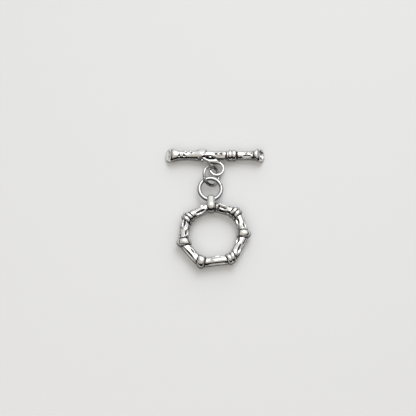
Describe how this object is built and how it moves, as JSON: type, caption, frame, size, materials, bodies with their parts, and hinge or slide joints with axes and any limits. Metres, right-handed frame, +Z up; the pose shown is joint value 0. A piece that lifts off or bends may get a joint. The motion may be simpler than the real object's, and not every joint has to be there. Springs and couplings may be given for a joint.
{
  "type": "toggle clasp",
  "caption": "Cast toggle clasp in a bamboo pattern, lying flat: a jointed ring with a lug, a bar with flared ends and a side loop, and the round wire jump rings that link them.",
  "frame": {"origin": "on the plane the clasp lies on, under the middle of its box", "axes": "+X along the bar, +Y from the ring towards the bar, +Z up from the plane it lies on"},
  "size_m": [0.0228, 0.0291, 0.0037],
  "materials": {
    "cast_plate": "bright silver-toned plate on a polished zinc alloy casting, darker in its recesses",
    "wire_plate": "bright silver-toned plate on drawn round wire"
  },
  "bodies": {
    "root": {"toggle_ring": "cast_plate", "toggle_bar": "cast_plate", "ring_link": "wire_plate", "bar_link": "wire_plate"}
  },
  "joints": []
}
